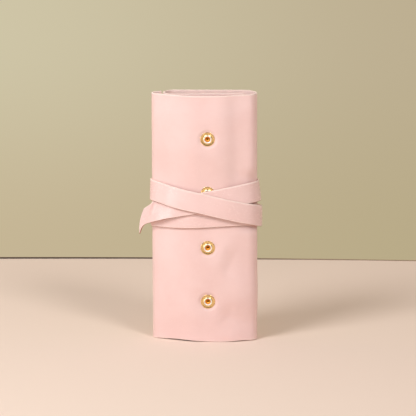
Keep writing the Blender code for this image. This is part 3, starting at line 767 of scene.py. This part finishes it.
def rounded(corners, radius, steps=4):
    """Softens a profile's corners: each is cut back and bridged by a small curve."""
    out = []
    count = len(corners)
    for i in range(count):
        before, here, after = (Vector(corners[(i + k) % count]) for k in (-1, 0, 1))
        if here.x < ON_AXIS:
            out.append(tuple(here))
            continue
        back = min(radius, (before - here).length * 0.45)
        on = min(radius, (after - here).length * 0.45)
        a = here + (before - here).normalized() * back
        b = here + (after - here).normalized() * on
        for k in range(steps + 1):
            t = k / steps
            u = 1 - t
            out.append(tuple(a * u * u + here * (2 * u * t) + b * t * t))
    return out


POST = rounded(
    [
        (0.7, 1.7),
        (1.3, 1.3),
        (1.85, 0.75),
        (2.2, 0.15),
        (2.4, -0.25),
        (2.85, -0.62),
        (3.3, -0.68),
        (3.7, -0.45),
        (4.05, -0.24),
        (4.9, -0.3),
        (5.6, -0.46),
        (6.05, -0.36),
        (6.2, -0.1),
        (6.05, 0.2),
        (2.35, 0.2),
        (2.35, 4.2),
        (3.0, 4.2),
        (3.0, 4.5),
        (2.0, 4.5),
        (2.0, 3.6),
    ],
    0.22,
)
STUD = rounded(
    [
        (2.65, 3.4),
        (5.4, 3.4),
        (5.4, 3.9),
        (3.75, 3.9),
        (3.75, 4.6),
        (3.85, 5.5),
        (3.7, 6.4),
        (3.3, 6.9),
        (2.9, 6.8),
        (3.3, 6.3),
        (3.3, 3.9),
        (2.65, 3.9),
    ],
    0.14,
)
SOCKET = rounded(
    [
        (4.15, 4.3),
        (5.7, 4.3),
        (5.7, 7.9),
        (2.2, 7.9),
        (2.2, 7.3),
        (4.15, 7.3),
        (4.15, 6.3),
        (4.5, 6.0),
        (4.5, 5.6),
        (4.15, 5.3),
    ],
    0.28,
)
CAP = rounded(
    [
        (0.0, 7.42),
        (1.9, 7.42),
        (1.9, 9.7),
        (6.0, 9.7),
        (6.2, 10.0),
        (5.6, 10.4),
        (3.1, 10.55),
        (0.0, 10.6),
    ],
    0.25,
)
for number, place in enumerate(snap_places, 1):
    for kind, profile, home, radii in (
        ("snap_post", POST, "cover", (RING_R, BORE_R)),
        ("snap_stud", STUD, "cover", (0, 0)),
        ("snap_socket", SOCKET, f"loop_{number}", (0, 0)),
        ("snap_cap", CAP, f"loop_{number}", (0, 0)),
    ):
        piece = turned_piece(f"{kind}_{number}_turned", profile, place, *radii)
        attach(piece, home)
        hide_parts(f"{kind}_{number}")


# Loops: narrow leather strips inside the front, one behind each snap. Each is held under its stud,
# runs to the right, turns back in a small bend and snaps shut over what is threaded on it.
LOOP_LEATHER = 1.2 * MM
LOOP_HEIGHT = 16.0 * MM
LOOP_LENGTH = 21.0 * MM
LOOP_END = 7.5 * MM
BASE_FRONT = 1.9 * MM
FLAP_BACK = 9.4 * MM
LOOP_STEPS = 24
LOOP_ROWS = 14
LOOP_TIP = 0.6 * MM
LOOP_PUNCH_R = 2.45 * MM
LOOP_PUNCH_DEPTH = 20.0 * MM


def front_y(x):
    """How far back the front's outer face lies at x."""
    line = front_line()
    for a, b in zip(line, line[1:]):
        if b.x <= x <= a.x:
            return a.y + (b.y - a.y) * (x - a.x) / (b.x - a.x)
    return line[0].y


tan_leather = (0.90, 0.70, 0.58)
loop_finish = [
    hair_side("loop_hair_side", tan_leather, 0.6),
    flesh_side("loop_flesh_side", (0.86, 0.66, 0.54)),
    raw_edge("loop_raw_edge", (0.93, 0.80, 0.70)),
]
turn_x = SNAP_X + LOOP_LENGTH
end_x = SNAP_X - LOOP_END
base_run = [
    Vector((x, front_y(x) + BASE_FRONT))
    for x in (end_x + (turn_x - end_x) * i / LOOP_STEPS for i in range(LOOP_STEPS + 1))
]
flap_y = FRONT_Y + FLAP_BACK
loop_r = (flap_y - base_run[-1].y) / 2
loop_centre = Vector((turn_x, flap_y - loop_r))
flap_run = [
    Vector((turn_x + (end_x - turn_x) * i / LOOP_STEPS, flap_y)) for i in range(LOOP_STEPS + 1)
]
loop_path = joined(base_run, arc(loop_centre, loop_r, -90, 90, 8), flap_run)
loop_path.reverse()


def loop_half_height(x):
    """The strip's two ends are cut round."""
    left = end_x + LOOP_HEIGHT / 2
    if x >= left:
        return LOOP_HEIGHT / 2
    return max(LOOP_TIP, math.sqrt(max(0.0, (LOOP_HEIGHT / 2) ** 2 - (left - x) ** 2)))


for number, z in enumerate(SNAP_HEIGHTS, 1):
    grid = []
    for place in loop_path:
        half = loop_half_height(place.x)
        column = [
            ROLL_MIDDLE + Vector((place.x, place.y, z + half * (2 * j / LOOP_ROWS - 1)))
            for j in range(LOOP_ROWS + 1)
        ]
        grid.append(column)
    loop, _ = leather_strip(
        f"loop_{number}_strip", grid, grid_normals(grid), LOOP_LEATHER, loop_finish
    )
    place = ROLL_MIDDLE + Vector((SNAP_X, FRONT_Y + (BASE_FRONT + FLAP_BACK) / 2, z))
    finished(loop, [place], LOOP_PUNCH_R, LOOP_PUNCH_DEPTH)
    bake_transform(loop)
    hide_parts(f"loop_base_{number}", f"loop_flap_{number}")


# Strap: one long flat strip of the same leather, cut with raw edges. It starts on the back, passes
# low across the front, rises across it to the left on the next turn, then comes down from the right
# and goes under that turn. It is only wound on and holds by its own friction.
STRAP_WIDTH = 17.6 * MM
STRAP_T = 1.15 * MM
STRAP_HUG = 0.25 * MM
LAYER_GAP = 0.3 * MM
LOW_TURN_Z = ROLL_HEIGHT / 2 - 0.1 * MM
HIGH_TURN_Z = LOW_TURN_Z + STRAP_WIDTH + 5.9 * MM
STRAP_START_X = 16.0 * MM
STRAP_STEP = 1.6 * MM
STRAP_COLUMNS = 10
STRAP_CROWN = 0.11 * MM
SLOPE_REACH = 1.0 * MM

# Turn, side, share of half the roll's width, share of the way from low to high turn, layers of the
# lower and the upper edge.
STRAP_ROUTE = [
    (0, "right", 1.0, 0.05, 0.0, 0.0),
    (0, "front", 0.80, 0.13, 0.0, 0.0),
    (0, "front", 0.38, 0.13, 0.0, 0.0),
    (0, "front", 0.04, 0.085, 0.0, 0.0),
    (0, "front", -0.64, 0.026, 0.0, 0.0),
    (0, "left", -1.0, 0.0, 0.0, 0.0),
    (0, "back", -0.50, 0.0, 0.0, 0.0),
    (0, "back", -0.04, 0.0, 0.0, 0.0),
    (0, "back", 0.22, 0.0, 1.0, 1.0),
    (0, "back", 0.60, 0.0, 1.0, 1.0),
    (1, "right", 1.0, 0.01, 2.0, 2.0),
    (1, "front", 0.85, 0.19, 2.0, 2.0),
    (1, "front", 0.64, 0.30, 2.0, 2.0),
    (1, "front", 0.16, 0.535, 2.0, 1.9),
    (1, "front", -0.12, 0.66, 2.0, 1.7),
    (1, "front", -0.59, 0.84, 2.1, 0.9),
    (1, "front", -0.86, 0.955, 1.5, 0.3),
    (1, "front", -0.96, 0.985, 0.8, 0.1),
    (1, "left", -1.0, 1.0, 0.4, 0.0),
    (1, "back", -0.80, 1.01, 0.2, 0.0),
    (1, "back", -0.50, 1.01, 0.0, 0.0),
    (1, "back", 0.50, 1.0, 0.0, 0.0),
    (2, "right", 1.0, 0.985, 1.5, 0.0),
    (2, "front", 0.88, 0.975, 1.0, 0.0),
    (2, "front", 0.55, 0.87, 1.0, 0.1),
    (2, "front", 0.22, 0.752, 1.0, 0.4),
    (2, "front", -0.16, 0.612, 1.0, 0.6),
    (2, "front", -0.40, 0.52, 1.1, 0.4),
    (2, "front", -0.73, 0.36, 2.5, 0.2),
    (2, "front", -0.88, 0.26, 3.2, 0.2),
]


class Outline:
    """The roll's whole outline as a length along it, clockwise from its right side."""

    def __init__(self, points):
        self.points = points
        count = len(points)
        self.normals = []
        for i in range(count):
            run = points[(i + 1) % count] - points[i - 1]
            self.normals.append(Vector((-run.y, run.x)).normalized())
        self.marks = [0.0]
        for i in range(count):
            step = (points[(i + 1) % count] - points[i]).length
            self.marks.append(self.marks[-1] + step)
        self.length = self.marks[-1]

    def at(self, s):
        """The place and the outward direction at a length."""
        s = s % self.length
        count = len(self.points)
        i = next(k for k in range(count) if s <= self.marks[k + 1])
        share = (s - self.marks[i]) / (self.marks[i + 1] - self.marks[i])
        place = self.points[i].lerp(self.points[(i + 1) % count], share)
        normal = self.normals[i].lerp(self.normals[(i + 1) % count], share).normalized()
        return place, normal

    def find(self, side, x):
        """The length at which the front or the back passes x, or that of the left or right side
        for an x beyond it."""
        count = len(self.points)
        for i in range(count):
            a = self.points[i]
            b = self.points[(i + 1) % count]
            if (b.x < a.x) == (side == "front") and min(a.x, b.x) <= x <= max(a.x, b.x):
                return self.marks[i] + (x - a.x) / (b.x - a.x) * (self.marks[i + 1] - self.marks[i])
        lowest = min(range(count), key=lambda k: self.points[k].x)
        return self.marks[lowest] if x < 0 else 0.0


def layer(number):
    """How far from the roll the inner face of this layer lies."""
    return STRAP_HUG + number * (STRAP_T + LAYER_GAP)


def curved(a, slope_a, b, slope_b, t):
    """The place at t, 0 to 1, on a curve that leaves a and reaches b with these slopes."""
    return (
        a * (2 * t**3 - 3 * t**2 + 1)
        + slope_a * (t**3 - 2 * t**2 + t)
        + b * (3 * t**2 - 2 * t**3)
        + slope_b * (t**3 - t**2)
    )


def through(stations, s):
    """Height, and the layers of both edges, at length s."""
    last = len(stations) - 1
    i = next((k for k in range(last) if s <= stations[k + 1][0]), last - 1)
    a, b = stations[i], stations[i + 1]
    before = stations[max(i - 1, 0)]
    after = stations[min(i + 2, last)]
    t = (s - a[0]) / (b[0] - a[0])
    slope_a = (b[1] - before[1]) / (b[0] - before[0]) * (b[0] - a[0])
    slope_b = (after[1] - a[1]) / (after[0] - a[0]) * (b[0] - a[0])
    ease = eased(t)
    lower, upper = (a[k] + (b[k] - a[k]) * ease for k in (2, 3))
    return curved(a[1], slope_a, b[1], slope_b, t), lower, upper


wrap = Outline(
    joined(
        arc(RIGHT_CENTRE, RIGHT_FOLD_R, 0, FRONT_RIGHT_SLOPE - 90),
        front_line(),
        left_fold,
        back_left_line(),
        back_path,
    )[:-1]
)
stations = []
for turn, side, x, height, lower, upper in STRAP_ROUTE:
    at_side = side in ("left", "right")
    place = wrap.find("front" if at_side else side, x * ROLL_WIDTH / 2)
    z = LOW_TURN_Z + height * (HIGH_TURN_Z - LOW_TURN_Z)
    stations.append((turn * wrap.length + place, z, layer(lower), layer(upper)))
strap_start = wrap.find("back", STRAP_START_X) - wrap.length
stations.insert(0, (strap_start, stations[0][1], layer(0), layer(0)))
strap_end = stations[-1][0]
steps = math.ceil((strap_end - strap_start) / STRAP_STEP)
strap_grid = []
for i in range(steps + 1):
    s = strap_start + (strap_end - strap_start) * i / steps
    z, lower, upper = through(stations, s)
    rise = through(stations, min(s + SLOPE_REACH, strap_end))[0]
    rise -= through(stations, max(s - SLOPE_REACH, strap_start))[0]
    slope = math.atan2(rise, 2 * SLOPE_REACH)
    column = []
    for j in range(STRAP_COLUMNS + 1):
        share = 2 * j / STRAP_COLUMNS - 1
        across = share * STRAP_WIDTH / 2
        place, normal = wrap.at(s - math.sin(slope) * across)
        off = (lower + upper) / 2 + share * (upper - lower) / 2 + STRAP_T
        off += STRAP_CROWN * (1 - share * share)
        point = place + normal * off
        column.append(ROLL_MIDDLE + Vector((point.x, point.y, z + math.cos(slope) * across)))
    strap_grid.append(column)


strap_finish = [
    hair_side("strap_hair_side", (0.905, 0.652, 0.612), 0.26),
    flesh_side("strap_flesh_side", (0.84, 0.44, 0.36)),
    # Its lower cut edge is painted dark red-brown as shade.
    raw_edge("strap_raw_edge_painted_shade", (0.97, 0.83, 0.74), (0.45, 0.17, 0.11), STRAP_WIDTH),
]


# Free end of the strap: it leaves the roll at the left, stands out a little, sags and curls down
# to a slanting cut. Its two edges pass these places, in strap widths to the left, back and up.
TAIL_UPPER = [(-0.02, -0.25, 0.69), (0.17, -0.11, 0.53), (0.34, 0.02, 0.39)]
TAIL_LOWER = [
    (0.05, -0.28, -0.28),
    (0.23, -0.20, -0.35),
    (0.36, -0.14, -0.44),
    (0.48, -0.06, -0.62),
    (0.57, 0.03, -0.89),
]
TAIL_BOW = 1.6 * MM
TAIL_STEPS = 40
TAIL_FROM = ROLL_MIDDLE + Vector((-ROLL_WIDTH / 2 - 0.9 * MM, -0.9 * MM, LOW_TURN_Z))


def along_curve(points, t, ahead):
    """The place at t, 0 to 1, on a curve through all the points that begins straight ahead."""
    spans = len(points) - 1
    i = min(int(t * spans), spans - 1)
    u = t * spans - i
    a, b = points[i], points[i + 1]
    slope_a = (b - points[i - 1]) / 2 if i > 0 else ahead * (b - a).length
    slope_b = (points[i + 2] - a) / 2 if i + 2 <= spans else b - a
    return curved(a, slope_a, b, slope_b, u)


last_row = strap_grid[-1]
middle = STRAP_COLUMNS // 2
tail_ahead = (last_row[middle] - strap_grid[-2][middle]).normalized()
tail_edges = []
for edge, route in ((last_row[0], TAIL_LOWER), (last_row[-1], TAIL_UPPER)):
    tail_edges.append([edge] + [TAIL_FROM + Vector((-x, y, z)) * STRAP_WIDTH for x, y, z in route])
tail_grid = []
for i in range(TAIL_STEPS + 1):
    t = i / TAIL_STEPS
    lower = along_curve(tail_edges[0], t, tail_ahead)
    upper = along_curve(tail_edges[1], t, tail_ahead)
    column = []
    for j in range(STRAP_COLUMNS + 1):
        share = 2 * j / STRAP_COLUMNS - 1
        bow = Vector((-TAIL_BOW * t * t * (1 - share * share), 0, 0))
        crown = last_row[j] - last_row[0].lerp(last_row[-1], j / STRAP_COLUMNS)
        column.append(lower.lerp(upper, j / STRAP_COLUMNS) + bow + crown * (1 - t))
    tail_grid.append(column)
whole_sides = grid_normals(strap_grid + tail_grid[1:])
strap_piece, strap_length = leather_strip(
    "strap_wound",
    strap_grid,
    whole_sides[: len(strap_grid)],
    STRAP_T,
    strap_finish,
    seams=(1,),
)
finished(strap_piece)
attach(strap_piece, "strap")
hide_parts("strap")
tail_piece, _ = leather_strip(
    "strap_free_end",
    tail_grid,
    whole_sides[len(strap_grid) - 1 :],
    STRAP_T,
    strap_finish,
    begins=strap_length,
    seams=(0,),
)
finished(tail_piece)
last_row[middle] + Vector((-9, 3, 0)) * MM
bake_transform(tail_piece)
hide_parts("strap_tail")

# Table, wall and light: a plain pale table top that ends behind the roll in a slightly bowed strip
# of painted shadow, a beige wall beyond it that glows with painted light, and soft round lamps at
# the front left and the front right, with a low one at the left.
ROOM_SIDE = 3.0
ROOM_NEAR = -4.0
TABLE_END = ROLL_MIDDLE.y + 296 * MM
BOW_R = 4.8
BOW_MIDDLE = -60 * MM
BOW_SIDE = 0.45
BOW_STEPS = 24
BAND_LOW = -4 * MM
BAND_HIGH = 1.2 * MM
BAND_TILT = 0.0022
WALL_AT = ROLL_MIDDLE.y + 420 * MM
WALL_LOW = -1.0
WALL_HIGH = 3.0


def flat_piece(name, corners, finish):
    """One flat face from its corners."""
    mesh = bpy.data.meshes.new(name)
    mesh.from_pydata(corners, [], [tuple(range(len(corners)))])
    mesh.materials.append(finish)
    piece = placed(name, mesh)


def matt(name, colour):
    made, shader, _ = new_material(name)
    shader.inputs["Base Color"].default_value = (*colour, 1)
    shader.inputs["Roughness"].default_value = 0.85
    shader.inputs["Specular IOR Level"].default_value = 0.1
    return made


def room_fade(shade, axis, start, end):
    """0 up to start and 1 from end on, along the room's X or Z, in metres."""
    spot = shade.make("ShaderNodeTexCoord", None, None, out="Object")
    return shade.make("ShaderNodeSeparateXYZ", None, {"Vector": spot}, out=axis).fade(start, end)


back_edge = []
for i in range(BOW_STEPS + 1):
    x = BOW_SIDE * (2 * i / BOW_STEPS - 1)
    back_edge.append(Vector((x, TABLE_END - (x - BOW_MIDDLE) ** 2 / (2 * BOW_R), 0)))
flat_piece(
    "table",
    [
        (-ROOM_SIDE, ROOM_NEAR, 0),
        (ROOM_SIDE, ROOM_NEAR, 0),
        (ROOM_SIDE, back_edge[-1].y, 0),
        *reversed(back_edge),
        (-ROOM_SIDE, back_edge[0].y, 0),
    ],
    matt("table_top", (0.868, 0.705, 0.605)),
)
# Painted shadow: a dark strip stands at the table's back edge where it lies in shade, darker to the
# left.
painted_shadow_strip, shader, shade = new_material("table_back_painted_shadow")
across = room_fade(shade, "X", -0.1, 0.15)
feed(shader, "Base Color", across.between((0.10, 0.07, 0.05), (0.30, 0.21, 0.14)))
shader.inputs["Roughness"].default_value = 0.85
band_low = [point + Vector((0, 0, BAND_LOW)) for point in back_edge]
band_high = [point + Vector((0, 0, BAND_HIGH - point.x * BAND_TILT)) for point in back_edge]
flat_piece("table_edge", band_low + band_high[::-1], painted_shadow_strip)
# The wall gives off its own colour, so that no lamp's pool of light shows on it; that glow is
# painted light, darker to the right and towards its foot. It is clear from behind, so that it hides
# nothing in a view from there.
wall, shader, shade = new_material("wall_glow_painted_light")
across = room_fade(shade, "X", -0.24, 0.24)
height = room_fade(shade, "Z", -0.03, 0.2)
low = across.between((0.560, 0.464, 0.300), (0.485, 0.406, 0.247))
high = across.between((0.622, 0.558, 0.385), (0.510, 0.428, 0.285))
feed(shader, "Emission Color", height.between(low, high))
shader.inputs["Emission Strength"].default_value = 1.0
shader.inputs["Base Color"].default_value = (0, 0, 0, 1)
shader.inputs["Specular IOR Level"].default_value = 0.0
from_behind = shade.make("ShaderNodeNewGeometry", None, None, out="Backfacing")
feed(shader, "Alpha", 1 - from_behind)
flat_piece(
    "wall",
    [
        (-ROOM_SIDE, WALL_AT, WALL_HIGH),
        (-ROOM_SIDE, WALL_AT, WALL_LOW),
        (ROOM_SIDE, WALL_AT, WALL_LOW),
        (ROOM_SIDE, WALL_AT, WALL_HIGH),
    ],
    wall,
)


def soft_light(name, turn, rise, away, size, power, colour):
    """A round lamp that looks at the roll's middle: this far to the right of the view and this
    high, in degrees, and this far away, in metres."""
    lamp = bpy.data.lights.new(name, "AREA")
    lamp.shape = "DISK"
    lamp.size = size
    lamp.energy = power
    lamp.color = colour
    holder = placed(name, lamp)
    turn, rise = math.radians(turn), math.radians(rise)
    back = Vector(
        (math.sin(turn) * math.cos(rise), -math.cos(turn) * math.cos(rise), math.sin(rise))
    )
    aim = ROLL_MIDDLE + Vector((0, 0, ROLL_HEIGHT * 0.5))
    turned = back.to_track_quat("Z", "Y").to_matrix().to_4x4()
    holder.matrix_world = Matrix.Translation(aim + back * away) @ turned


soft_light("key", -45, 44, 1.5, 0.62, 12.2, (0.98, 0.99, 1.01))
soft_light("fill", 36, 41, 3.2, 1.0, 32.0, (1.01, 0.99, 0.97))
soft_light("low_left", -51, 6, 1.8, 0.45, 5.2, (1.0, 0.99, 0.99))

world = bpy.data.worlds.new("world")
bpy.context.scene.world = world
world.use_nodes = True
ground = world.node_tree.nodes["Background"]
sky = Shade(world.node_tree)
seen = sky.make("ShaderNodeLightPath", None, None, out="Is Camera Ray")
feed(ground, "Color", seen.between((0.23, 0.23, 0.25), (0.54, 0.46, 0.30)))
